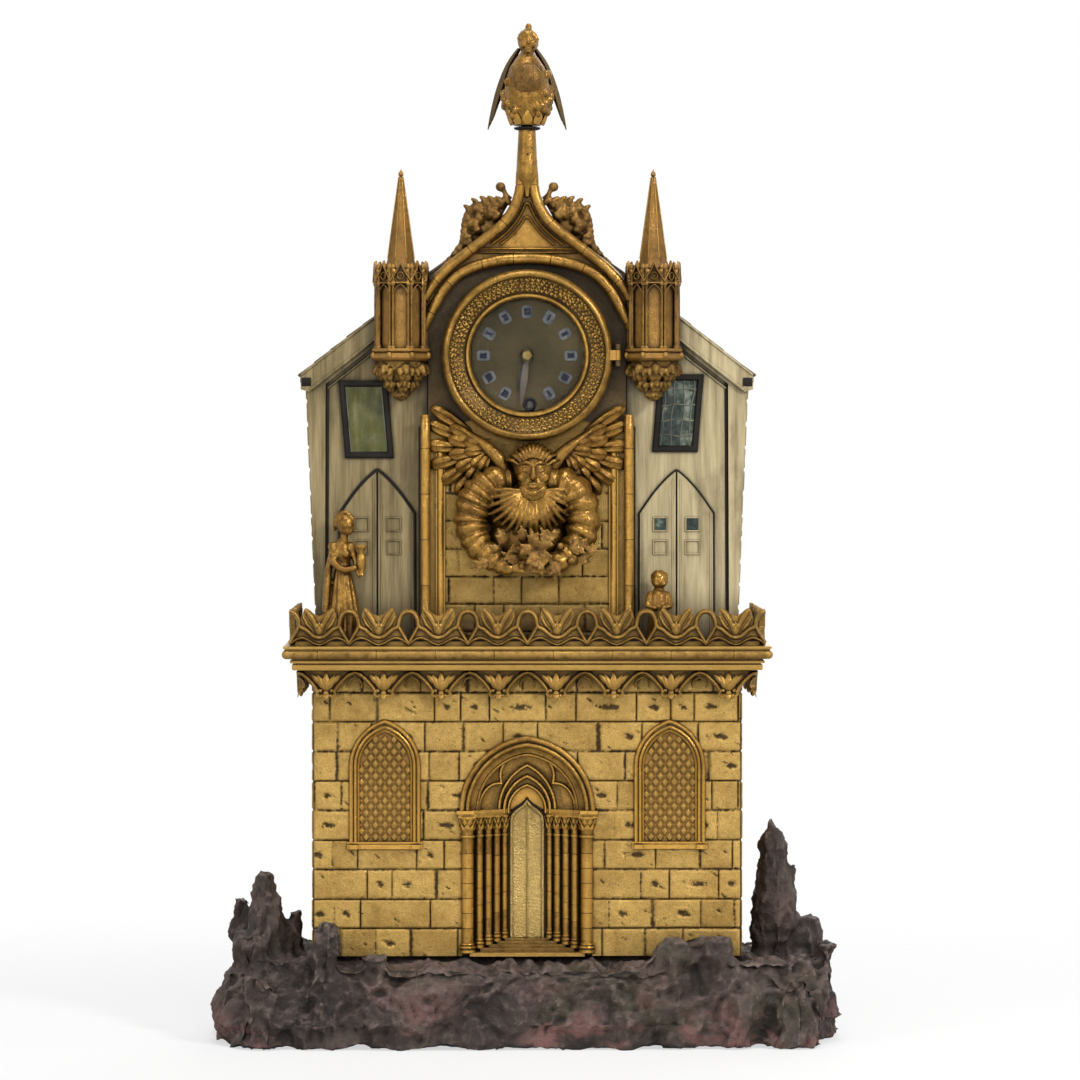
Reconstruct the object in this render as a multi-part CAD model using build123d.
from build123d import *
import math
import os

# Gothic church-front table clock. Millimetres, X right, Y back, Z up, origin under the middle of the plinth.

# Rock plinth
base_width = 356.0
base_depth = 160.0
ground_z = 48.0
rock_gap = 4.0

# Lower storey
house_front = -44.0
house_depth = 100.0
facade_half = 117.0
sheet = 3.0
storey_height = 158.0
cornice_height = 15.5
cornice_reach = 17.0
arcade_pitch = 32.4
frieze_drop = 17.0
gallery_height = 19.5
gallery_sheet = 3.0

# Portal and lower windows
portal_half = 36.0
impost_rise = 79.5
portal_rise = 40.0
niche_depth = 13.0
column_spread = 1.35
door_half = 8.5
window_x = 78.0
window_half = 19.5
window_sill_rise = 61.5
window_jamb = 42.5
window_rise = 26.0

# Upper storey
bay_front = -36.0
bay_sheet = 5.0
bay_half = 54.0
wing_front = -30.0
wing_sheet = 4.0
wing_foot_half = 115.0
eave_half = 121.0
eave_drop = 12.0
roof_slope = 0.78
roof_sheet = 3.6
wing_door_half = 20.5
wing_door_x = 82.3
wing_window_x = 86.0
wing_window_size = 28.0
wing_window_tall = 42.0
rear_door_half = 53.0
rear_door_sill = 11.0
rear_door_head = 14.5
rear_gap = 0.3

# Turrets
turret_x = 69.0
turret_y = -42.0
turret_flats = 29.5
turret_tall = 47.0
turret_slab = 6.5
corbel_tall = 22.0
spire_tall = 51.0

# Dial, bezel and hood
dial_rise = 155.5
dial_radius = 34.0
dial_sheet = 1.2
sight_radius = 30.6
bezel_radius = 47.0
bezel_deep = 15.5
bezel_gap = 0.3
numeral_ring = 24.0
arch_inner = 50.5
arch_outer = 57.5
ogee_radius = 64.5
ogee_turn = 38.0
ogee_bend = 34.0
roll_radius = 3.4
stem_tall = 29.0
finial_tall = 58.5
figure_tall = 71.5
child_tall = 38.0

# Movement, measured from the dial centre
plate_half = 32.0
plate_low = -55.0
plate_high = 50.0
plate_sheet = 2.0
front_plate_y = -28.0
back_plate_y = 0.0
pillar_x = 26.0
pillar_low = -49.0
pillar_high = 44.0
pivot_radius = 0.6
pivot_play = 0.05
arbor_radius = 1.2
winding_x = 1.6
winding_drop = 26.8
going_teeth = 70
going_leaves = 7
going_module = 0.46
third_module = 0.42
third_lean = 35.0
escape_teeth = 36
escape_radius = 10.0
pallet_distance = 14.8
pallet_gap = 0.7
motion_distance = 12.0
motion_lean = 45.0
pendulum_y = 10.0
pendulum_length = 248.0
swing_room = 13.0
bob_radius = 15.0

# Levels that follow
house_back = house_front + house_depth
wall_top = ground_z + storey_height
deck_z = wall_top + cornice_height
impost_z = ground_z + impost_rise
dial_z = deck_z + dial_rise
eave_z = dial_z - eave_drop
ridge_z = eave_z + eave_half * roof_slope
great_distance = math.hypot(winding_x, winding_drop)


def elevation(face, y_back, depth):
    """Extrudes a face drawn in X and Z forward from y_back."""
    plane = Plane(origin=(0, y_back, 0), x_dir=(1, 0, 0), z_dir=(0, -1, 0))
    return extrude(plane * face, amount=depth, dir=(0, -1, 0))


def profile_x(face, x_left, width):
    """Extrudes a face drawn in Y and Z to the right from x_left."""
    plane = Plane(origin=(x_left, 0, 0), x_dir=(0, 1, 0), z_dir=(1, 0, 0))
    return extrude(plane * face, amount=width, dir=(1, 0, 0))


def plan(face, z_low, height):
    """Extrudes a face drawn in X and Y upward from z_low."""
    return extrude(Pos(0, 0, z_low) * face, amount=height, dir=(0, 0, 1))


def block(x0, x1, y0, y1, z0, z1):
    middle = Pos((x0 + x1) / 2, (y0 + y1) / 2, (z0 + z1) / 2)
    return middle * Box(x1 - x0, y1 - y0, z1 - z0)


def outline(points):
    return make_face(Polyline(*points, close=True))


def mirrored_outline(right_points):
    """Closes a right-hand run of points with its mirror image."""
    left_points = [(-x, z) for x, z in reversed(right_points) if x > 1e-6]
    return outline(right_points + left_points)


def rod_y(radius, y_front, y_back, x=0.0, z=0.0):
    return Pos(x, (y_front + y_back) / 2, z) * Rot(90, 0, 0) * Cylinder(radius, y_back - y_front)


def rod_z(radius, z_low, z_high, x=0.0, y=0.0):
    return Pos(x, y, (z_low + z_high) / 2) * Cylinder(radius, z_high - z_low)


def turned_y(points):
    """Turns radius and Y points about the Y axis."""
    return revolve(outline(points), axis=Axis.Y)


def turned_z(points):
    """Turns radius and Z points about the Z axis."""
    return revolve(Plane.XZ * outline(points), axis=Axis.Z)


def lancet(half, foot, spring, rise):
    """Pointed arch on straight jambs, drawn in X and Z."""
    radius = (half * half + rise * rise) / (2 * half)
    centre = radius - half
    middle = math.pi - 0.5 * math.acos(centre / radius)
    bend_x = centre + radius * math.cos(middle)
    bend_z = spring + radius * math.sin(middle)
    edges = [
        ThreePointArc((-half, spring), (bend_x, bend_z), (0, spring + rise)),
        ThreePointArc((0, spring + rise), (-bend_x, bend_z), (half, spring)),
    ]
    if spring > foot:
        edges.append(Line((half, spring), (half, foot)))
        edges.append(Line((-half, foot), (-half, spring)))
    edges.append(Line((half, foot), (-half, foot)))
    return make_face(edges)


def vesica(half, low, high):
    """Almond shape of two arcs."""
    middle = (low + high) / 2
    right = ThreePointArc((0, low), (half, middle), (0, high))
    left = ThreePointArc((0, high), (-half, middle), (0, low))
    return make_face([right, left])


def both_sides(piece):
    """A piece and its mirror image in the middle plane."""
    return [piece, mirror(piece, about=Plane.YZ)]


def gear_face(teeth, module, phase, tip_share, root_share, addendum=0.95, dedendum=1.25):
    """Gear outline about the origin, one tooth centred on the angle phase."""
    pitch_radius = teeth * module / 2
    tip = pitch_radius + addendum * module
    root = pitch_radius - dedendum * module
    step = 2 * math.pi / teeth
    points = []
    for index in range(teeth):
        angle = phase + index * step
        for share, radius in ((-root_share, root), (-tip_share, tip), (tip_share, tip), (root_share, root)):
            turn = angle + share * step
            points.append((radius * math.cos(turn), radius * math.sin(turn)))
    return outline(points)


def wheel_face(teeth, module, phase, hub, rim, spokes):
    """Wheel with teeth and crossings."""
    face = gear_face(teeth, module, phase, 0.09, 0.27)
    return face - crossings(hub, teeth * module / 2 - rim, spokes)


def pinion_face(leaves, module, phase):
    return gear_face(leaves, module, phase, 0.08, 0.17)


def crossings(inner, outer, spokes):
    """Openings between the spokes of a wheel."""
    step = 2 * math.pi / spokes
    bar = 0.9
    faces = []
    for index in range(spokes):
        start_in = index * step + bar / inner
        end_in = (index + 1) * step - bar / inner
        start_out = index * step + bar / outer
        end_out = (index + 1) * step - bar / outer
        spots = []
        for radius, angle in (
            (inner, start_in), (outer, start_out), (outer, (start_out + end_out) / 2),
            (outer, end_out), (inner, end_in), (inner, (start_in + end_in) / 2),
        ):
            spots.append((radius * math.cos(angle), radius * math.sin(angle)))
        faces.append(make_face([
            Line(spots[0], spots[1]),
            ThreePointArc(spots[1], spots[2], spots[3]),
            Line(spots[3], spots[4]),
            ThreePointArc(spots[4], spots[5], spots[0]),
        ]))
    return faces


def meshed_phase(angle, phase, teeth, mate_teeth):
    """Tooth phase of a mate that stands at the given angle from its driver."""
    step = 2 * math.pi / teeth
    mate_step = 2 * math.pi / mate_teeth
    offset = ((angle - phase) / step) % 1.0
    return angle + math.pi - mate_step * (0.5 - offset)


def rock_ring(x, y, half_x, half_y, z, sides, seed, rough, power=2.0):
    """Irregular closed ring of points."""
    points = []
    for index in range(sides):
        angle = 2 * math.pi * index / sides
        across = math.cos(angle)
        along = math.sin(angle)
        reach = (abs(across) ** power + abs(along) ** power) ** (-1 / power)
        wave = 0.6 * math.sin(3 * angle + seed) + 0.4 * math.sin(7 * angle + 2.3 * seed)
        reach *= 1 + rough * wave
        points.append((x + half_x * across * reach, y + half_y * along * reach, z))
    return points


def fitted(ring, half_x, half_y):
    """Stretches a ring so that it spans exactly the given half sizes about the origin."""
    low_x = min(p[0] for p in ring)
    high_x = max(p[0] for p in ring)
    low_y = min(p[1] for p in ring)
    high_y = max(p[1] for p in ring)
    return [
        (
            (2 * (p[0] - low_x) / (high_x - low_x) - 1) * half_x,
            (2 * (p[1] - low_y) / (high_y - low_y) - 1) * half_y,
            p[2],
        )
        for p in ring
    ]


def faceted(rings):
    """Closed solid of flat facets through a stack of rings."""
    faces = [Face(Wire.make_polygon(rings[0])), Face(Wire.make_polygon(rings[-1]))]
    for low, high in zip(rings, rings[1:]):
        for index, start in enumerate(low):
            following = (index + 1) % len(low)
            faces.append(Face(Wire.make_polygon([start, low[following], high[following]])))
            faces.append(Face(Wire.make_polygon([start, high[following], high[index]])))
    solid = Solid(Shell(faces))
    return solid if solid.volume > 0 else -solid


def crag(x, y, half_x, half_y, low_z, top_z, crown, bluff, seed):
    """Rock that keeps its width low down and narrows to its crown; a high bluff narrows late."""
    rings = []
    for rise in (0.0, 0.4, 0.64, 0.84, 1.0):
        share = 1 - (1 - crown) * rise ** bluff
        shift = 0.1 * half_x * math.sin(seed + 5 * rise)
        ring_z = low_z + rise * (top_z - low_z)
        rings.append(rock_ring(x + shift, y, half_x * share, half_y * share, ring_z, 9, seed + 2 * rise, 0.1))
    return faceted(rings)


def rock_base():
    half_x = base_width / 2
    half_y = base_depth / 2
    rings = []
    for rise, share_x, share_y in ((0.0, 0.985, 0.975), (0.28, 1.0, 1.0), (0.65, 0.965, 0.93), (1.0, 0.9, 0.86)):
        ring = rock_ring(0, 0, 1, 1, ground_z * rise, 40, 1.0 + 3 * rise, 0.035, 4.5)
        rings.append(fitted(ring, half_x * share_x, half_y * share_y))
    slab = faceted(rings)
    side = facade_half + rock_gap
    front = house_front - rock_gap
    low = ground_z / 2
    rocks = [
        crag(-side - 23, -20, 12, 13, low, ground_z + 44.5, 0.4, 4.0, 0.4),
        crag(-side - 37, 2, 9, 11, low, ground_z + 28, 0.55, 3.0, 1.9),
        crag(-side - 32, -30, 15, 22, low, ground_z + 13, 0.6, 3.0, 3.4),
        crag(-side - 8, -12, 7, 14, low, ground_z + 22, 0.5, 3.0, 2.2),
        crag(-side + 11, front - 12, 13, 10, low, ground_z + 22, 0.4, 3.0, 3.1),
        crag(-84, front - 12, 14, 10, low, ground_z + 5, 0.55, 3.0, 4.2),
        crag(side + 15, -16, 14, 14, low, ground_z + 74.5, 0.2, 4.4, 5.0),
        crag(side + 26, -10, 6, 8, low, ground_z + 48, 0.6, 4.0, 2.9),
        crag(side + 36, -4, 13, 18, low, ground_z + 18, 0.5, 3.0, 0.9),
        crag(side + 44, -34, 9, 20, low, ground_z + 7, 0.6, 3.0, 1.7),
        crag(90, front - 12, 29, 10, low, ground_z + 14, 0.7, 3.0, 2.6),
        crag(-side - 22, 42, 18, 18, low, ground_z + 12, 0.4, 2.0, 3.7),
        crag(side + 20, 44, 18, 18, low, ground_z + 15, 0.4, 2.0, 1.3),
    ]
    # boulders along the front foot
    boulders = 10
    for index in range(boulders):
        place = (index + 0.5) / boulders - 0.5
        wave = math.sin(2.1 * index + 0.6)
        rocks.append(
            crag(0.9 * base_width * place, 16 - half_y, 17 + 3 * wave, 13, 0, ground_z * (0.74 + 0.16 * wave), 0.55, 2.4, 1.3 * index)
        )
    return slab.fuse(*rocks)


def column(radius, foot, top, x, y):
    """Round shaft with a spreading base and a bell capital."""
    tall = top - foot
    points = [
        (0, 0), (column_spread * radius, 0), (column_spread * radius, 1.5), (1.1 * radius, 3.2), (radius, 3.2),
        (radius, tall - 5), (column_spread * radius, tall - 1.2), (column_spread * radius, tall), (0, tall),
    ]
    return Pos(x, y, foot) * turned_z(points)


def portal_shafts():
    """Place, radius and foot level of the columns on the right-hand splay."""
    slope_x = door_half + 2 - portal_half
    length = math.hypot(slope_x, niche_depth)
    inward = (-niche_depth / length, slope_x / length)
    shafts = []
    for share, radius, lift in ((0.1, 3.1, 2.0), (0.35, 2.0, 4.0), (0.54, 1.85, 5.7), (0.72, 1.8, 7.2), (0.89, 1.6, 8.6)):
        gap = column_spread * radius + 0.2
        x = portal_half + share * slope_x + gap * inward[0]
        y = house_front + sheet + share * niche_depth + gap * inward[1]
        shafts.append((x, y, radius, ground_z + lift))
    return shafts


def portal_niche():
    mouth = house_front + sheet
    back = mouth + niche_depth
    deep = back + 4
    inner = door_half + 2
    outer = portal_half + sheet
    plan_points = [(outer, mouth), (outer, deep), (-outer, deep), (-outer, mouth), (-portal_half, mouth)]
    plan_points += [(-inner, back), (inner, back), (portal_half, mouth)]
    niche = plan(outline(plan_points), ground_z, impost_rise - 3)
    head = elevation(lancet(portal_half + 1, impost_z - 3, impost_z, portal_rise), deep, 4)
    niche += head
    for x, y, radius, foot in portal_shafts():
        niche += block(-x, x, y - column_spread * radius, back + 1, ground_z, foot)
    niche = niche - block(portal_half, outer + 20, -100, mouth, 0, 200) - block(-outer - 20, -portal_half, -100, mouth, 0, 200)
    niche += elevation(lancet(door_half, ground_z + 8.6, impost_z - 5.5, 8.5), back + 1, 2.6)
    for half, reach in ((12.0, 3.6), (16.0, 4.6), (20.5, 5.6)):
        ring = lancet(half, impost_z, impost_z, 1.25 * half) - lancet(half - 2.6, impost_z, impost_z, 1.25 * (half - 2.6))
        niche += elevation(ring, back + 1, reach - 1)
    return niche


def portal_columns():
    shafts = []
    for x, y, radius, foot in portal_shafts():
        shafts += both_sides(column(radius, foot, impost_z - 3, x, y))
    return Compound(shafts)


def arch_ring(outer, inner, rise):
    return lancet(outer, impost_z, impost_z, rise * outer) - lancet(inner, impost_z, impost_z, rise * inner)


def portal_arch():
    mouth = house_front + sheet
    inner = door_half + 1.5
    rise = portal_rise / portal_half
    impost = [
        (portal_half + 2.5, house_front - 4.5), (portal_half + 2.5, house_front), (portal_half - 0.1, house_front),
        (portal_half - 0.1, mouth), (inner, mouth + niche_depth - 0.2), (inner, mouth + niche_depth - 6),
        (portal_half - 7, house_front - 3), (portal_half - 7, house_front - 4.5),
    ]
    slab = plan(outline(impost), impost_z - 3, 3)
    arch = slab + mirror(slab, about=Plane.YZ)
    arch += elevation(arch_ring(portal_half + 1, portal_half - 2.5, rise), house_front, 3.5)
    arch += elevation(arch_ring(portal_half - 0.2, portal_half - 4.5, rise), mouth + 5, 9)
    arch += elevation(arch_ring(portal_half - 4.4, portal_half - 8, rise), mouth + 8, 8)
    field = lancet(portal_half - 7.9, impost_z, impost_z, rise * (portal_half - 7.9))
    field -= Pos(0, impost_z + 21) * Circle(7.5)
    field -= [Pos(-9.5, impost_z + 10) * Circle(8.5), Pos(9.5, impost_z + 10) * Circle(8.5)]
    field -= Pos(0, impost_z + 4) * Rectangle(36, 8.1)
    field -= Pos(0, impost_z + 11) * Circle(4.5)
    arch += elevation(field, mouth + 7, 3)
    return arch


def window_frames():
    sill = ground_z + window_sill_rise
    spring = sill + window_jamb
    share = window_rise / window_half
    frames = []
    for side in (-1, 1):
        roll = lancet(window_half, sill, spring, window_rise)
        roll -= lancet(window_half - 3, sill - 1, spring, share * (window_half - 3))
        frame = elevation(Pos(side * window_x, 0) * roll, house_front, 2.6)
        inner = lancet(window_half - 2.9, sill, spring, share * (window_half - 2.9))
        inner -= lancet(window_half - 5.5, sill - 1, spring, share * (window_half - 5.5))
        frame += elevation(Pos(side * window_x, 0) * inner, house_front, 1.5)
        bar = Pos(side * window_x, sill - 1.2) * Rectangle(2 * window_half + 2, 3.4)
        frame += elevation(bar, house_front, 3.4)
        frames.append(frame)
    return Compound(frames)


def window_lattices():
    sill = ground_z + window_sill_rise + 0.6
    spring = ground_z + window_sill_rise + window_jamb
    half = window_half - 5.6
    rise = window_rise / window_half * half
    step_x = half / 2.35
    step_z = 8.0
    light = lancet(half, sill, spring, rise)
    inside = lancet(half - 0.8, sill + 0.8, spring, rise - 1)
    holes = []
    for row in range(15):
        z = sill + 0.5 * step_z * (row + 0.6)
        for column_index in range(-3, 4):
            x = step_x * (column_index + 0.5 * (row % 2))
            corners = [(x - 0.38 * step_x, z), (x, z - 0.38 * step_z), (x + 0.38 * step_x, z), (x, z + 0.38 * step_z)]
            reach = [abs(c[0]) / (half - 0.8) for c in corners]
            over = max(0.0, z + 0.38 * step_z - spring) / (rise - 1)
            if max(reach) < 1 and abs(x) / half + over < 0.95 and z - 0.38 * step_z > sill + 0.8:
                holes.append(outline(corners))
    grille = light - holes
    return Compound([elevation(Pos(side * window_x, 0) * grille, house_front, 1.0) for side in (-1, 1)])


def cornice():
    reach = cornice_reach
    steps = [
        (reach - 6, 0), (reach - 6, 2.5), (reach - 4.5, 3.5), (reach - 4.5, 5), (reach - 1.2, 7), (reach, 9),
        (reach, cornice_height - 2.5), (reach - 1.5, cornice_height),
    ]
    across = mirrored_outline([(facade_half + out, wall_top + rise) for out, rise in steps])
    run = [(house_front - out, wall_top + rise) for out, rise in steps]
    along = outline(run + [(house_back, deck_z), (house_back, wall_top)])
    span = facade_half + reach
    body = profile_x(along, -span, 2 * span) & elevation(across, house_back, house_depth + reach)
    hollow = block(-facade_half + 5, facade_half - 5, house_front + 5, house_back - 5, wall_top - 1, deck_z - 3.5)
    slot = block(-swing_room - 1, swing_room + 1, pendulum_y - 4, pendulum_y + 4, wall_top - 1, deck_z + 1)
    return body - hollow - slot


def frieze_face(left, right, arches):
    """Pendant arcade between two ends, with arch crowns at whole pitches."""
    low = wall_top - frieze_drop + 3
    face = Pos((left + right) / 2, (low + wall_top) / 2) * Rectangle(right - left, wall_top - low)
    half = arcade_pitch / 2 - 3
    cuts = []
    drops = []
    for index in arches:
        cuts.append(Pos(index * arcade_pitch, 0) * lancet(half, low - 2, low - 1.5, 1.06 * half))
        drop = (index + 0.5) * arcade_pitch
        if left + 3 < drop < right - 3:
            drops.append(Pos(drop, low - 0.8) * Circle(2.2))
    return face - cuts + drops


def pendant_frieze():
    reach = cornice_reach - 8.5
    front_y = house_front - reach
    side_x = facade_half + reach
    front = elevation(frieze_face(-side_x, side_x, range(-4, 5)), front_y + 2.5, 2.5)
    side_face = frieze_face(front_y + 2.5, house_back, range(-2, 3))
    left = profile_x(side_face, -side_x, 2.5)
    right = profile_x(side_face, side_x - 2.5, 2.5)
    return Compound([front, left, right])


def gallery_face(cells, edge):
    """Pierced parapet of almonds, spread leaves and half rounds along whole pitches."""
    low = deck_z
    top = deck_z + gallery_height
    quarter = arcade_pitch / 4
    face = Pos(0, low + 0.7) * Rectangle(2 * edge, 1.4)
    shapes = []
    for index in cells:
        x = index * arcade_pitch
        if abs(x) < edge - 5:
            ring = vesica(6.9, low + 1.6, top) - vesica(4.5, low + 4.6, top - 3.4)
            shapes.append(Pos(x, 0) * ring)
        for offset in (-quarter, quarter):
            if abs(x + offset) < edge - 5:
                band = Circle(6.3) - Circle(4.2)
                band &= Pos(0, 5) * Rectangle(20, 10)
                shapes.append(Pos(x + offset, low) * band)
        leaf = mirrored_outline([
            (0, low + 0.5), (3.4, low + 5), (9.2, top - 0.4), (6.0, top - 0.9), (2.6, top - 4.5), (0, top - 6.5),
        ])
        if abs(x + 2 * quarter) < edge:
            shapes.append(Pos(x + 2 * quarter, 0) * leaf)
    return face + shapes


def gallery():
    half = 4 * arcade_pitch
    front_y = house_front - cornice_reach + 2
    limit = Pos(0, deck_z + gallery_height / 2) * Rectangle(2 * half, gallery_height)
    front_face = gallery_face(range(-4, 5), half) & limit
    front = elevation(front_face, front_y + gallery_sheet, gallery_sheet)
    run = 1.5 * arcade_pitch
    side_limit = Pos(0, deck_z + gallery_height / 2) * Rectangle(2 * run, gallery_height)
    side_face = gallery_face(range(-2, 3), run) & side_limit
    middle = front_y + gallery_sheet + run
    left = profile_x(Pos(middle, 0) * side_face, -half, gallery_sheet)
    right = profile_x(Pos(middle, 0) * side_face, half - gallery_sheet, gallery_sheet)
    return Compound([front, left, right])


def roof_line(x):
    return ridge_z - abs(x) * roof_slope


rear_door_low = deck_z + rear_door_sill
rear_door_tall = roof_line(rear_door_half) - rear_door_head - rear_door_low


def bay_panel():
    face = mirrored_outline([(bay_half, deck_z), (bay_half, roof_line(bay_half)), (0, ridge_z)])
    opening = motion_distance + 10
    face -= Pos(0, dial_z) * Circle(opening)
    face -= Pos(winding_x, dial_z - winding_drop) * Circle(4)
    panel = elevation(face, bay_front + bay_sheet, bay_sheet)
    for side in (-1, 1):
        strip = block(-2.5, 2.5, bay_front - 2, bay_front + 1, deck_z, dial_z - bezel_radius)
        panel += Pos(side * (bay_half - 6.5), 0, 0) * strip
    return panel


def bay_colonnettes():
    foot = deck_z
    top = deck_z + dial_rise - 3 - corbel_tall
    points = [
        (0, 0), (3.6, 0), (3.6, 3), (2.7, 5), (2.7, top - foot - 6), (3.4, top - foot - 2), (3.4, top - foot),
        (0, top - foot),
    ]
    post = Pos(bay_half + 1.8, bay_front - 3.9, foot) * turned_z(points)
    return Compound(both_sides(post))


def ellipsoid(half_x, half_y, half_z, x, y, z):
    return Pos(x, y, z) * scale(Sphere(1), by=(half_x, half_y, half_z))


def feather(length, width, angle, x, z, y_back, thick):
    """One long feather that springs from a point and lies in the front plane."""
    face = Pos(x, z) * Rot(0, 0, angle) * vesica(width / 2, -0.12 * length, length)
    return elevation(face, y_back, thick)


def winged_bust():
    front = bay_front
    z = dial_z - 62
    torso = ellipsoid(31, 13, 26, 1.5, front, z - 32)
    head = ellipsoid(10.5, 9, 14.5, 3.5, front - 11, z)
    neck = rod_z(6.5, z - 22, z - 8, 3.0, front - 7)
    bust = torso + head + neck
    bust += block(-bay_half + 10, bay_half - 10, front - 1.5, front, z - 34, z + 14)
    for side in (-1, 1):
        shoulder = (1.5 + 24 * side, front - 6, z - 15)
        elbow = (1.5 + 33 * side, front - 6, z - 36)
        hand = (1.5 + 10 * side, front - 8, z - 51)
        sleeve = ThreePointArc(shoulder, elbow, hand)
        start = Plane(origin=sleeve @ 0, z_dir=sleeve % 0)
        bust += sweep(start * Circle(6.5), path=sleeve)
        for index in range(6):
            angle = -side * (6 + 13 * index)
            reach = 44 - 3.2 * index
            plume = feather(reach, 8.5, angle, 26 * side, z - 4, front, 4.0 - 0.4 * index)
            bust += plume
    bust &= block(-bay_half + 2, bay_half - 2, front - 30, front, deck_z + 20, dial_z)
    clear = elevation(Pos(0, dial_z) * Circle(bezel_radius + 1.2), front + 1, bezel_deep + 4)
    strips = [block(s * (bay_half - 6.5) - 2.6, s * (bay_half - 6.5) + 2.6, front - 2, front, 0, dial_z) for s in (-1, 1)]
    relief = bust - clear - strips[0] - strips[1]
    return max(relief.solids(), key=lambda solid: solid.volume)


def leaf_spray():
    front = bay_front
    z = deck_z + 32
    spray = feather(24, 13, 0, 1.5, z, front, 16)
    for side in (-1, 1):
        spray += feather(27, 12, side * 48, 1.5, z, front, 17)
        spray += feather(25, 11, side * 88, 1.5, z, front, 15)
    return spray - winged_bust()


def wing_panels():
    inner = bay_half + 0.1
    face = outline([
        (inner, deck_z), (wing_foot_half, deck_z), (eave_half, eave_z), (inner, roof_line(inner)),
    ])
    return Compound(both_sides(elevation(face, wing_front + wing_sheet, wing_sheet)))


def wing_door_leaves():
    spring = deck_z + 67
    leaf = lancet(wing_door_half, deck_z, spring, 1.03 * wing_door_half)
    slit = Pos(0, spring) * Rectangle(0.7, 400)
    halves = elevation(Pos(wing_door_x, 0) * (leaf - slit), wing_front, 1.5)
    leaves = []
    for half in halves.solids():
        leaves += both_sides(half)
    return Compound(leaves)


def wing_windows():
    middle = eave_z - wing_window_tall / 2
    place = Pos(wing_window_x, middle)
    outer = Rectangle(wing_window_size, wing_window_tall)
    pane = Rectangle(wing_window_size - 3.6, wing_window_tall - 3.6)
    window = elevation(place * outer, wing_front, 0.6) + elevation(place * (outer - pane), wing_front, 1.2)
    return Compound(both_sides(window))


def upper_walls():
    face = outline([
        (wing_foot_half, deck_z), (eave_half, eave_z), (eave_half - sheet, roof_line(eave_half - sheet)),
        (wing_foot_half - sheet, deck_z),
    ])
    back = house_back - wing_sheet
    return Compound(both_sides(elevation(face, back, back - wing_front - wing_sheet)))


def roof_slopes():
    eave = eave_half + 3.5
    verge = turret_x + turret_flats / 2 + 0.5
    face = outline([(0, ridge_z), (eave, roof_line(eave)), (eave, roof_line(eave) + roof_sheet), (0, ridge_z + roof_sheet)])
    lip = outline([
        (verge, roof_line(verge)), (eave, roof_line(eave)), (eave, roof_line(eave) + roof_sheet),
        (verge, roof_line(verge) + roof_sheet),
    ])
    back = house_back + 4
    slope = elevation(face, back, back - wing_front) + elevation(lip, wing_front, 4)
    return Compound(both_sides(slope))


def barge_boards():
    start = turret_x + turret_flats / 2 + 0.5
    end = eave_half + 2
    knee = eave_half - 9
    board = outline([
        (start, roof_line(start)), (end, roof_line(end)), (end, roof_line(end) - 3), (knee, roof_line(knee) - 11.5),
        (start, roof_line(start) - 11.5),
    ])
    return Compound(both_sides(elevation(board, wing_front, 3)))


def rear_frame():
    face = mirrored_outline([(wing_foot_half, deck_z), (eave_half, eave_z), (0, ridge_z)])
    opening = Rectangle(2 * rear_door_half - 6, rear_door_tall - 6)
    face -= Pos(0, rear_door_low + rear_door_tall / 2) * opening
    return elevation(face, house_back, wing_sheet)


def hinge_axis_x():
    return rear_door_half + 2.4


def hinge_axis_y():
    return house_back + 2.0


def hinge_levels():
    middle = rear_door_low + rear_door_tall / 2
    return [middle - 0.33 * rear_door_tall, middle + 0.33 * rear_door_tall]


def rear_door():
    low = rear_door_low
    back = house_back + rear_gap
    door = block(-rear_door_half, rear_door_half, back, back + 3, low, low + rear_door_tall)
    door -= Pos(0, back + 2.4, low + rear_door_tall / 2) * Box(2 * rear_door_half - 24, 1.3, rear_door_tall - 24)
    for z in hinge_levels():
        knuckle = rod_z(1.7, z - 3, z + 3, hinge_axis_x(), hinge_axis_y())
        tab = block(rear_door_half - 1, hinge_axis_x(), hinge_axis_y() - 0.9, hinge_axis_y() + 0.9, z - 3, z + 3)
        door += knuckle + tab
        door -= rod_z(1.06, z - 4, z + 4, hinge_axis_x(), hinge_axis_y())
    return door


def rear_door_knob():
    back = house_back + rear_gap + 3
    knob = turned_y([(0, 0), (2.4, 0), (1.8, 3), (4.2, 6), (4.2, 8.5), (3, 10), (0, 10)])
    return Pos(-rear_door_half + 7, back, rear_door_low + rear_door_tall / 2) * knob


def rear_hinges():
    hinges = []
    x = hinge_axis_x()
    y = hinge_axis_y()
    for z in hinge_levels():
        pin = rod_z(1.0, z - 7, z + 7, x, y)
        ends = rod_z(1.7, z - 7, z - 3.2, x, y) + rod_z(1.7, z + 3.2, z + 7, x, y)
        leaf = block(x, x + 8, house_back, house_back + 1.0, z - 7, z + 7)
        leaf -= block(x - 4, x + 2.6, house_back - 1, house_back + 2, z - 3.3, z + 3.3)
        ends += block(x - 1.0, x + 1.7, house_back, y, z - 7, z - 3.2)
        ends += block(x - 1.0, x + 1.7, house_back, y, z + 3.2, z + 7)
        hinges.append(pin + ends + leaf)
    return Compound(hinges)


def octagon(flats):
    return Rot(0, 0, 22.5) * RegularPolygon(flats / 2, 8, major_radius=False)


def turret_foot():
    return dial_z + 3.5


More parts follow.
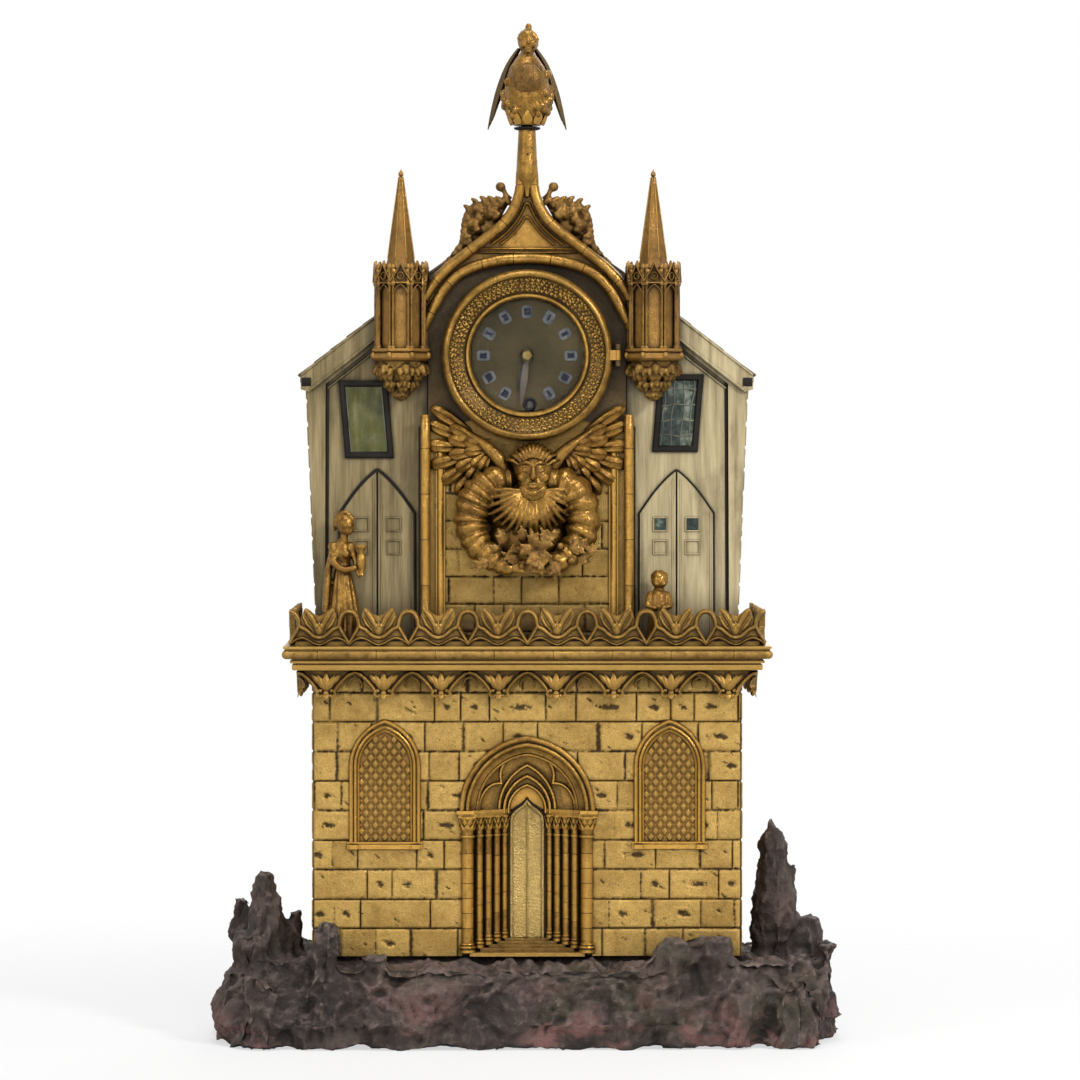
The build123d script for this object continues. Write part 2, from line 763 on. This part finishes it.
def turret():
    low = turret_foot()
    top = low + turret_tall
    body = plan(octagon(turret_flats), low, turret_tall)
    body += plan(octagon(turret_flats + 3), low - turret_slab, turret_slab)
    apothem = turret_flats / 2
    light = lancet(3.9, low + 2.5, low + 29, 6.5)
    gable = mirrored_outline([(5.6, top - 8), (5.6, top - 4), (0, top + 1.5)]) - Pos(0, top - 4.6) * Circle(1.6)
    for index in range(5):
        turn = Rot(0, 0, -90 + 45 * index)
        body -= turn * elevation(light, -apothem + 1.2, 4)
        body += turn * elevation(gable, -apothem + 0.4, 1.6)
    body = Pos(0, turret_y, 0) * body
    return body & block(-40, 40, turret_y - 40, wing_front - 0.3, 0, 600)


def turrets():
    right = Pos(turret_x, 0, 0) * turret() & block(bay_half + 0.2, 200, -200, 200, 0, 600)
    return Compound(both_sides(right))


def turret_spires():
    low = turret_foot() + turret_tall
    sections = [octagon(17.5), Pos(0, 0, 3) * octagon(15), Pos(0, 0, spire_tall - 4) * octagon(2.2)]
    spire = loft(sections, ruled=True)
    spire += Pos(0, 0, spire_tall - 3) * Sphere(1.9)
    return Compound(both_sides(Pos(turret_x, turret_y, low) * spire))


def turret_corbels():
    tall = corbel_tall
    points = [
        (0, 0), (2.4, 0.6), (3.0, 4), (6.4, 6.5), (7.6, 9.5), (7.0, 11.5), (11.5, 15), (13.4, 19), (13.4, tall), (0, tall),
    ]
    body = Pos(0, turret_y, turret_foot() - turret_slab - tall) * turned_z(points)
    body = body & block(-40, 40, turret_y - 40, wing_front - 0.3, 0, 600)
    return Compound(both_sides(Pos(turret_x, 0, 0) * body))


def ogee_points():
    """Left-hand centre line of the hood roll, from the turret to the stem."""
    turn = math.radians(ogee_turn)
    start_angle = math.pi - math.acos((bay_half - 0.2) / ogee_radius)
    end_angle = math.pi / 2 + turn
    middle = (start_angle + end_angle) / 2
    spots = []
    for angle in (start_angle, middle, end_angle):
        spots.append((ogee_radius * math.cos(angle), dial_z + ogee_radius * math.sin(angle)))
    stop_x = -roll_radius - 0.2
    run = (stop_x - spots[2][0] - ogee_bend * (1 - math.sin(turn))) / math.cos(turn)
    knee = (spots[2][0] + run * math.cos(turn), spots[2][1] + run * math.sin(turn))
    half_turn = (turn + math.pi / 2) / 2
    bend = (
        knee[0] + ogee_bend * (math.sin(half_turn) - math.sin(turn)),
        knee[1] + ogee_bend * (math.cos(turn) - math.cos(half_turn)),
    )
    stop = (stop_x, knee[1] + ogee_bend * math.cos(turn))
    return spots + [knee, bend, stop]


def stem_foot():
    return ogee_points()[-1][1] - 1.5


def ogee_hood():
    spots = ogee_points()
    y = bay_front - 6.5
    at = [(x, y, z) for x, z in spots]
    path = Wire([ThreePointArc(at[0], at[1], at[2]), Line(at[2], at[3]), ThreePointArc(at[3], at[4], at[5])])
    start = Plane(origin=path @ 0, z_dir=path % 0)
    roll = sweep(start * Circle(roll_radius), path=path)
    roll = roll & block(-bay_half, 0.0, -100, 100, 0, 600)
    right = [(-x, z) for x, z in spots]
    clear = arch_outer + 0.1
    low = dial_z + math.sqrt(clear * clear - (bay_half - 0.2) ** 2)
    plate = make_face([
        ThreePointArc(spots[0], spots[1], spots[2]), Line(spots[2], spots[3]), ThreePointArc(spots[3], spots[4], spots[5]),
        Line(spots[5], right[5]), ThreePointArc(right[5], right[4], right[3]), Line(right[3], right[2]),
        ThreePointArc(right[2], right[1], right[0]), Line(right[0], (bay_half - 0.2, low)),
        ThreePointArc((bay_half - 0.2, low), (0, dial_z + clear), (-bay_half + 0.2, low)),
        Line((-bay_half + 0.2, low), spots[0]),
    ])
    hood = elevation(plate, bay_front, 3.6) + roll + mirror(roll, about=Plane.YZ)
    stem = Pos(0, y, stem_foot() + stem_tall / 2) * Cone(7.0, 4.0, stem_tall)
    return hood + stem


def dial_arch():
    face = make_face([
        Line((arch_inner, 0), (arch_inner, -6)),
        ThreePointArc((arch_inner, -6), ((arch_inner + arch_outer) / 2, -9.5), (arch_outer, -6)),
        Line((arch_outer, -6), (arch_outer, 0)),
        Line((arch_outer, 0), (arch_inner, 0)),
    ])
    ring = Pos(0, bay_front, dial_z) * revolve(face, axis=Axis.Y)
    return ring & block(-bay_half + 0.2, bay_half - 0.2, -100, 100, dial_z + 10, 600)


def hood_crockets():
    spots = ogee_points()
    x = spots[3][0]
    z = spots[3][1]
    curl = Pos(x - 10, z + 2) * Circle(8)
    curl += Pos(x - 20, z - 4) * Circle(6.5)
    curl += Pos(x + 1.5, z + 10) * Circle(4.2)
    curl -= Pos(x + 1.0, z + 11) * Circle(1.5)
    leaf = elevation(curl, bay_front, 5.5)
    roof_clear = outline([(-70, 300), (0, 300), (0, ridge_z), (-70, roof_line(70))])
    leaf = leaf - ogee_hood()
    leaf = leaf - elevation(roof_clear, bay_front + 1, 20)
    keep = [solid for solid in leaf.solids() if solid.volume > 20]
    return Compound([side for solid in keep for side in both_sides(solid)])


def finial_angel():
    low = stem_foot() + stem_tall
    share = finial_tall / 58.5
    points = [
        (0, 0), (6, 0), (9.5, 4), (12, 12), (12.3, 20), (10, 28), (6, 34.5), (3.4, 37.5), (3.4, 39),
        (6.1, 44), (5.8, 48.5), (3.4, 52.2), (1.9, 53.2), (2.4, 56), (1.3, 58.2), (0, 58.5),
    ]
    y = bay_front - 6.5
    angel = Pos(0, y, low) * turned_z([(r * share, z * share) for r, z in points])
    for side in (-1, 1):
        shape = Pos(side * 4.5, low + 38 * share) * Rot(0, 0, -side * 157) * vesica(4.2, -3, 44 * share)
        wing = elevation(shape, y + 8, 2.0)
        tie = block(-7, 7, y + 2, y + 7, low + 26 * share, low + 33 * share)
        angel += wing + tie
    return angel


def standing_figure():
    share = figure_tall / 71.5
    points = [
        (0, 0), (9, 0), (9.2, 3), (7.4, 22), (6.2, 36), (8, 46), (7.2, 52), (3.2, 55), (2.8, 57.5),
        (5.0, 62), (4.9, 66), (2.8, 70.6), (0, 71.5),
    ]
    body = turned_z([(r * share, z * share) for r, z in points])
    vessel = Pos(6.5, -5.5, 36 * share) * turned_z([(0, 0), (2.2, 0), (3.4, 4), (2.0, 8), (2.6, 10), (0, 10)])
    return Pos(-101, house_front - 1, deck_z) * (body + vessel)


def child_figure():
    points = [
        (0, 0), (6, 0), (6.2, 2), (4.8, 12), (4.4, 18), (5.4, 23), (4.6, 26), (2.2, 28), (2.2, 29),
        (4.4, 32.5), (4.2, 35.5), (2.2, 37.7), (0, 38),
    ]
    share = child_tall / 38
    return Pos(72, house_front - 1, deck_z) * turned_z([(r * share, z * share) for r, z in points])


def bezel_back():
    return bay_front - bezel_gap


def glass_back():
    return bay_front - 8.5


def bezel_pin():
    return (bezel_radius + 2.5, bezel_back() - bezel_deep + 1.2)


def bezel():
    back = bezel_back()
    front = back - bezel_deep
    seat = sight_radius + 3
    glass = glass_back()
    points = [
        (dial_radius + 0.6, back), (bezel_radius - 1, back), (bezel_radius, back - 2.5), (bezel_radius - 0.6, front + 2.2),
        (bezel_radius - 3.2, front), (bezel_radius - 5.8, front + 1.8), (bezel_radius - 6.6, front + 3.4),
        (seat + 2.8, front + 3.4), (seat + 1.6, front + 1.6), (seat + 0.2, front + 3.2), (seat, glass),
        (sight_radius, glass), (sight_radius, glass + 1.2), (dial_radius + 0.6, bay_front - dial_sheet - 0.6),
    ]
    ring = Pos(0, 0, dial_z) * turned_y(points)
    x, y = bezel_pin()
    ring += rod_z(1.5, dial_z - 2.8, dial_z + 2.8, x, y)
    ring += block(bezel_radius - 3, x, y - 0.8, y + 0.8, dial_z - 2.8, dial_z + 2.8)
    return ring - rod_z(0.86, dial_z - 5, dial_z + 5, x, y)


def bezel_glass():
    return rod_y(sight_radius + 2.9, glass_back() - 1.4, glass_back(), 0, dial_z)


def bezel_hinge():
    x, y = bezel_pin()
    hinge = rod_z(0.8, dial_z - 6, dial_z + 6, x, y)
    for side in (-1, 1):
        low = min(side * 3.0, side * 6.0)
        ear = block(x - 1.3, x + 1.3, y, bay_front, dial_z + low, dial_z + low + 3)
        ear += rod_z(1.5, dial_z + low, dial_z + low + 3, x, y)
        hinge += ear
    return hinge


def dial():
    face = Circle(dial_radius) - Circle(3.0) - Pos(winding_x, -winding_drop) * Circle(2.5)
    disc = elevation(Pos(0, dial_z) * face, bay_front, dial_sheet)
    ferrule = Pos(winding_x, dial_z - winding_drop) * (Circle(3.5) - Circle(2.5))
    return disc + elevation(ferrule, bay_front, dial_sheet + 0.5)


def dial_numerals():
    plates = []
    for hour in range(1, 13):
        if hour != 6:
            plate = RectangleRounded(5.6, 7.0, 1.6)
            turned = Rot(0, 0, -30 * hour) * Pos(0, numeral_ring) * plate
            plates.append(elevation(Pos(0, dial_z) * turned, bay_front - dial_sheet, 0.6))
    return Compound(plates)


# Depths of the movement pieces, from the front
minute_hand_y = bay_front - 4.2
hour_hand_y = bay_front - 2.2
hour_wheel_y = bay_front + 2.8
cannon_y = front_plate_y - 1.3
ratchet_y = front_plate_y - 0.4
great_wheel_y = -7.5
centre_wheel_y = -3.2
third_wheel_y = -12.8
escape_wheel_y = -17.8

# Places of the arbors, in X and Z from the dial centre
third_place = (
    -(going_teeth + going_leaves) / 2 * going_module * math.sin(math.radians(third_lean)),
    (going_teeth + going_leaves) / 2 * going_module * math.cos(math.radians(third_lean)),
)
escape_reach = (going_teeth + going_leaves) / 2 * third_module
escape_place = (0.0, third_place[1] + math.sqrt(escape_reach ** 2 - third_place[0] ** 2))
pallet_place = (0.0, escape_place[1] + pallet_distance)
motion_place = (
    motion_distance * math.sin(math.radians(motion_lean)), motion_distance * math.cos(math.radians(motion_lean)),
)
winding_place = (winding_x, -winding_drop)
great_module = 2 * great_distance / 84
pivot_bore = pivot_radius + pivot_play


def at_dial(piece):
    return Pos(0, 0, dial_z) * piece


def angle_between(start, end):
    return math.atan2(end[1] - start[1], end[0] - start[0])


def plate_shape():
    tall = plate_high - plate_low
    return Pos(0, (plate_high + plate_low) / 2) * RectangleRounded(2 * plate_half, tall, 6)


def pillar_places():
    return [(x, z) for x in (-pillar_x, pillar_x) for z in (pillar_low, pillar_high)]


def front_plate():
    face = plate_shape()
    face -= [Pos(*place) * Circle(2.05) for place in pillar_places()]
    face -= [Pos(*place) * Circle(pivot_bore) for place in (third_place, escape_place, pallet_place)]
    face -= Pos(0, 0) * Circle(arbor_radius + pivot_play)
    face -= Pos(*winding_place) * Circle(2.0 + pivot_play)
    plate = elevation(face, front_plate_y + plate_sheet, plate_sheet)
    plate += rod_y(1.0, bay_front + 1.0, front_plate_y, motion_place[0], motion_place[1])
    plate += rod_y(1.0, ratchet_y - 2.4, front_plate_y, *click_place())
    return at_dial(plate)


def back_plate():
    face = plate_shape()
    face -= [Pos(*place) * Circle(2.05) for place in pillar_places()]
    face -= [Pos(*place) * Circle(pivot_bore) for place in (third_place, escape_place, (0, 0))]
    face -= Pos(*winding_place) * Circle(2.0 + pivot_play)
    face -= Pos(*pallet_place) * Circle(2.4)
    return at_dial(elevation(face, back_plate_y + plate_sheet, plate_sheet))


def movement_pillars():
    front = bay_front + bay_sheet
    pillars = []
    for x, z in pillar_places():
        pillar = turned_y([
            (0, front), (3, front), (3, front_plate_y), (2, front_plate_y), (2, front_plate_y + plate_sheet),
            (3, front_plate_y + plate_sheet), (3, back_plate_y), (2, back_plate_y), (2, back_plate_y + plate_sheet),
            (3, back_plate_y + plate_sheet), (3, back_plate_y + plate_sheet + 1.6), (0, back_plate_y + plate_sheet + 1.6),
        ])
        pillars.append(at_dial(Pos(x, 0, z) * pillar))
    return Compound(pillars)


great_phase = 0.0
centre_pinion_phase = meshed_phase(angle_between(winding_place, (0, 0)), great_phase, 72, 12)
centre_phase = 0.0
third_pinion_phase = meshed_phase(angle_between((0, 0), third_place), centre_phase, going_teeth, going_leaves)
third_phase = 0.0
escape_pinion_phase = meshed_phase(angle_between(third_place, escape_place), third_phase, going_teeth, going_leaves)
cannon_phase = 0.0
minute_phase = meshed_phase(angle_between((0, 0), motion_place), cannon_phase, 12, 36)
minute_pinion_phase = 0.0
hour_phase = meshed_phase(angle_between(motion_place, (0, 0)), minute_pinion_phase, 9, 36)
motion_module = 2 * motion_distance / 48
hour_module = 2 * motion_distance / 45


def barrel():
    drum = 20.5
    teeth = gear_face(72, great_module, great_phase, 0.09, 0.27)
    wheel = elevation(teeth - Circle(2.06), great_wheel_y, 2.5)
    wall = elevation(Circle(drum) - Circle(drum - 1.3), great_wheel_y, 16.5)
    cap = elevation(Circle(drum - 1.4) - Circle(2.06), great_wheel_y - 15.3, 1.2)
    place = Pos(winding_place[0], 0, winding_place[1])
    return Compound([at_dial(place * (wheel + wall)), at_dial(place * cap)])


def mainspring():
    thick = 0.55
    pitch = 1.5
    inner = 5.6
    outer_edges = []
    inner_edges = []
    radius = inner
    for index in range(16):
        side = 1 if index % 2 == 0 else -1
        centre = 0.0 if side == 1 else pitch / 2
        for run, reach in ((outer_edges, radius + thick / 2), (inner_edges, radius - thick / 2)):
            run.append(ThreePointArc((centre + side * reach, 0), (centre, side * reach), (centre - side * reach, 0)))
        radius += pitch / 2
    start = Line(inner_edges[0] @ 0, outer_edges[0] @ 0)
    end = Line(inner_edges[-1] @ 1, outer_edges[-1] @ 1)
    face = make_face(outer_edges + inner_edges + [start, end])
    strip = elevation(face, great_wheel_y - 3.0, 11.8)
    return at_dial(Pos(winding_place[0], 0, winding_place[1]) * strip)


ratchet_teeth = 16
ratchet_radius = 8.5
click_angle = math.radians(30)
click_length = 8.0
click_lift = 1.6


def ratchet_face():
    """Saw-toothed wheel with one tooth just short of the click's nose."""
    step = 2 * math.pi / ratchet_teeth
    points = []
    for index in range(ratchet_teeth):
        angle = click_angle + (index - 0.2) * step
        points.append((ratchet_radius * math.cos(angle), ratchet_radius * math.sin(angle)))
        root = angle + 0.12 * step
        points.append(((ratchet_radius - 1.7) * math.cos(root), (ratchet_radius - 1.7) * math.sin(root)))
    return outline(points)


def click_spot(along, out):
    """Point measured from the click's nose, along the ratchet's tangent and outward."""
    reach = ratchet_radius + 0.12 + out
    x = winding_place[0] + reach * math.cos(click_angle) - along * math.sin(click_angle)
    z = winding_place[1] + reach * math.sin(click_angle) + along * math.cos(click_angle)
    return (x, z)


def click_place():
    return click_spot(click_length, click_lift)


def winding_arbor():
    square = dial_sheet + 0.2
    arbor = rod_y(2.0, bay_front - 0.4, back_plate_y + plate_sheet + 0.6)
    arbor += elevation(Rectangle(2.6, 2.6), bay_front, square)
    arbor += rod_y(4.4, great_wheel_y - 15.0, great_wheel_y - 2.8)
    arbor += elevation(ratchet_face(), ratchet_y, 2.0)
    return at_dial(Pos(winding_place[0], 0, winding_place[1]) * arbor)


def click():
    corners = ((0, 0), (1.0, 0.95), (click_length, 0.2), (click_length, 3.0), (0.2, 1.9))
    lever = outline([click_spot(along, out) for along, out in corners])
    lever = lever + Pos(*click_place()) * Circle(2.3) - Pos(*click_place()) * Circle(1.05)
    return at_dial(elevation(lever, ratchet_y, 2.0))


def centre_wheel():
    arbor = rod_y(arbor_radius, minute_hand_y - 1.2, centre_wheel_y + 1)
    arbor += rod_y(pivot_radius, centre_wheel_y, back_plate_y + plate_sheet + 0.4)
    arbor += elevation(pinion_face(12, great_module, centre_pinion_phase), great_wheel_y + 0.6, 3.7)
    arbor += elevation(wheel_face(going_teeth, going_module, centre_phase, 4, 2.6, 4), centre_wheel_y, 1.4)
    return at_dial(arbor)


def cannon_pinion():
    bore = arbor_radius + 0.02
    pinion = elevation(pinion_face(12, motion_module, cannon_phase) - Circle(bore), cannon_y, 2.2)
    pipe = elevation(Circle(1.75) - Circle(bore), cannon_y, cannon_y - minute_hand_y + 0.9)
    return at_dial(pinion + pipe)


def minute_wheel():
    bore = 1.05
    wheel = elevation(gear_face(36, motion_module, minute_phase, 0.09, 0.27) - Circle(bore), cannon_y - 0.4, 1.4)
    pinion = elevation(pinion_face(9, hour_module, minute_pinion_phase) - Circle(bore), cannon_y - 1.8, 3.6)
    return at_dial(Pos(motion_place[0], 0, motion_place[1]) * (wheel + pinion))


def hour_wheel():
    bore = 1.82
    wheel = elevation(gear_face(36, hour_module, hour_phase, 0.09, 0.27) - Circle(bore), hour_wheel_y, 1.4)
    pipe = elevation(Circle(2.6) - Circle(bore), hour_wheel_y, hour_wheel_y - hour_hand_y + 0.8)
    return at_dial(wheel + pipe)


def hand_face(length, waist, belly, bore, eye):
    """Leaf-shaped hand that points up, with a ring about its axis."""
    blade = make_face([
        ThreePointArc((-waist / 2, 0), (-belly / 2, 0.62 * length), (0, length)),
        ThreePointArc((0, length), (belly / 2, 0.62 * length), (waist / 2, 0)),
        Line((waist / 2, 0), (-waist / 2, 0)),
    ])
    return blade + Circle(eye) - Circle(bore)


hour_angle = 195.5
minute_angle = 187.0


def hour_hand():
    face = hand_face(21, 1.6, 2.6, 2.62, 3.9)
    return at_dial(elevation(Rot(0, 0, -hour_angle) * face, hour_hand_y, 0.8))


def minute_hand():
    face = hand_face(28.3, 1.4, 3.2, 1.77, 3.0)
    return at_dial(elevation(Rot(0, 0, -minute_angle) * face, minute_hand_y, 0.8))


def hand_collet():
    y = minute_hand_y - 1.2
    bore = arbor_radius + 0.02
    collet = turned_y([(bore, y + 0.2), (3.4, y + 0.2), (3.4, y - 0.5), (2.4, y - 1.6), (0, y - 2.0), (0, y - 0.1), (bore, y - 0.1)])
    return at_dial(collet)


def third_wheel():
    arbor = rod_y(arbor_radius, front_plate_y + plate_sheet + 0.4, back_plate_y - 0.4)
    arbor += rod_y(pivot_radius, front_plate_y - 0.3, back_plate_y + plate_sheet + 0.3)
    arbor += elevation(pinion_face(going_leaves, going_module, third_pinion_phase), centre_wheel_y + 0.6, 2.6)
    arbor += elevation(wheel_face(going_teeth, third_module, third_phase, 3.6, 2.4, 4), third_wheel_y, 1.3)
    return at_dial(Pos(third_place[0], 0, third_place[1]) * arbor)


def escape_wheel():
    step = 2 * math.pi / escape_teeth
    points = []
    for index in range(escape_teeth):
        angle = math.pi / 2 - index * step
        points.append((escape_radius * math.cos(angle), escape_radius * math.sin(angle)))
        for share in (0.28, 0.75):
            root = angle - share * step
            points.append(((escape_radius - 1.5) * math.cos(root), (escape_radius - 1.5) * math.sin(root)))
    face = outline(points) - crossings(3.2, escape_radius - 3, 4)
    arbor = rod_y(arbor_radius - 0.1, front_plate_y + plate_sheet + 0.4, back_plate_y - 0.4)
    arbor += rod_y(pivot_radius, front_plate_y - 0.3, back_plate_y + plate_sheet + 0.3)
    arbor += elevation(face, escape_wheel_y, 1.2)
    arbor += elevation(pinion_face(going_leaves, third_module, escape_pinion_phase), third_wheel_y + 0.6, 2.6)
    return at_dial(Pos(escape_place[0], 0, escape_place[1]) * arbor)


def anchor():
    """Pallet arbor with its two arms, and the crutch behind the plates."""
    depth = 1.6
    span = math.radians(47.5)
    face = Pos(*pallet_place) * Circle(2.6)
    tip = escape_radius + pallet_gap
    for side in (-1, 1):
        way = (side * math.sin(span), math.cos(span))
        across = (way[1], -way[0])
        spots = []
        for reach, shift in ((tip, -0.35), (tip, 0.35), (tip + 4.2, 0.9), (tip + 4.2, -0.9)):
            spots.append((
                escape_place[0] + reach * way[0] + shift * across[0],
                escape_place[1] + reach * way[1] + shift * across[1],
            ))
        face += outline(spots)
        end = (escape_place[0] + (tip + 3.3) * way[0], escape_place[1] + (tip + 3.3) * way[1])
        face += outline([
            (pallet_place[0], pallet_place[1] + 2.2), (end[0] + side * 0.5, end[1] + 1.0),
            (end[0], end[1] - 0.9), (pallet_place[0], pallet_place[1] - 1.6),
        ])
    body = elevation(face, escape_wheel_y + 0.2, depth)
    x, z = pallet_place
    body += rod_y(arbor_radius, front_plate_y + plate_sheet + 0.4, cock_front() - 0.4, x, z)
    body += rod_y(pivot_radius, front_plate_y - 0.3, cock_front() + 1.6, x, z)
    crutch_y = back_plate_y + plate_sheet + 1.4
    body += rod_y(2.2, crutch_y, crutch_y + 1.3, x, z)
    body += block(x - 0.9, x + 0.9, crutch_y, crutch_y + 1.2, z - 26, z)
    body += block(x - 3.0, x + 3.0, crutch_y, crutch_y + 1.2, z - 28, z - 25)
    for side in (-1, 1):
        body += rod_y(0.7, crutch_y + 0.4, pendulum_y + 2, x + side * 2.2, z - 26.5)
    return at_dial(body)


def cock_front():
    return back_plate_y + plate_sheet + 4.2


def back_cock():
    x, z = pallet_place
    plate = Pos(x, z) * RectangleRounded(26, 11, 2) - Pos(x, z) * Circle(pivot_bore)
    cock = elevation(plate, cock_front() + 2, 2)
    for side in (-1, 1):
        cock += block(x + side * 11 - 1.8, x + side * 11 + 1.8, back_plate_y + plate_sheet, cock_front() + 0.5, z - 4, z + 4)
    cock += rod_y(1.2, cock_front() + 2, pendulum_y + 3.5, x, z)
    cock += rod_y(2.2, pendulum_y + 2.2, pendulum_y + 3.5, x, z)
    cock -= rod_y(pivot_bore, cock_front() - 1, cock_front() + 2, x, z)
    return at_dial(cock)


def pendulum_rod():
    x, z = pallet_place
    rod = rod_y(3.0, pendulum_y - 0.9, pendulum_y + 0.9, x, z)
    rod += rod_z(1.0, z - pendulum_length - bob_radius - 9, z - 2, x, pendulum_y)
    rod += rod_z(3.0, z - pendulum_length - bob_radius - 3.4, z - pendulum_length - bob_radius - 0.1, x, pendulum_y)
    rod -= rod_y(1.24, pendulum_y - 3, pendulum_y + 3, x, z)
    return at_dial(rod)


def pendulum_bob():
    x, z = pallet_place
    half = 4.0
    lens = turned_y([(0, -half), (4, -half), (bob_radius, -0.9), (bob_radius, 0.9), (4, half), (0, half)])
    bob = Pos(x, pendulum_y, z - pendulum_length) * lens
    bob -= rod_z(1.05, z - pendulum_length - 40, z - pendulum_length + 40, x, pendulum_y)
    return at_dial(bob)


def facade_plate():
    wall = Pos(0, (ground_z + wall_top) / 2) * Rectangle(2 * facade_half, storey_height)
    wall -= lancet(portal_half, ground_z - 1, impost_z, portal_rise)
    return elevation(wall, house_front + sheet, sheet)


def side_walls():
    wall = block(facade_half - sheet, facade_half, house_front + sheet, house_back, ground_z, wall_top)
    return Compound(both_sides(wall))


def lower_back_panel():
    half = facade_half - sheet
    return block(-half, half, house_back - sheet, house_back, ground_z, wall_top)


pieces = [
    rock_base, facade_plate, side_walls, lower_back_panel, portal_niche, portal_columns, portal_arch, window_frames,
    window_lattices, cornice, pendant_frieze, gallery, bay_panel, bay_colonnettes, winged_bust, leaf_spray,
    wing_panels, wing_door_leaves, wing_windows, upper_walls, roof_slopes, barge_boards, rear_frame, rear_door,
    rear_door_knob, rear_hinges, turrets, turret_spires, turret_corbels, ogee_hood, dial_arch, hood_crockets,
    finial_angel, standing_figure, child_figure, bezel, bezel_glass, bezel_hinge, dial, dial_numerals, hour_hand,
    minute_hand, hand_collet, front_plate, back_plate, movement_pillars, barrel, mainspring, winding_arbor, click,
    centre_wheel, cannon_pinion, minute_wheel, hour_wheel, third_wheel, escape_wheel, anchor, back_cock,
    pendulum_rod, pendulum_bob,
]

os.makedirs("parts", exist_ok=True)
for piece in pieces:
    export_step(piece(), f"parts/{piece.__name__}.step")
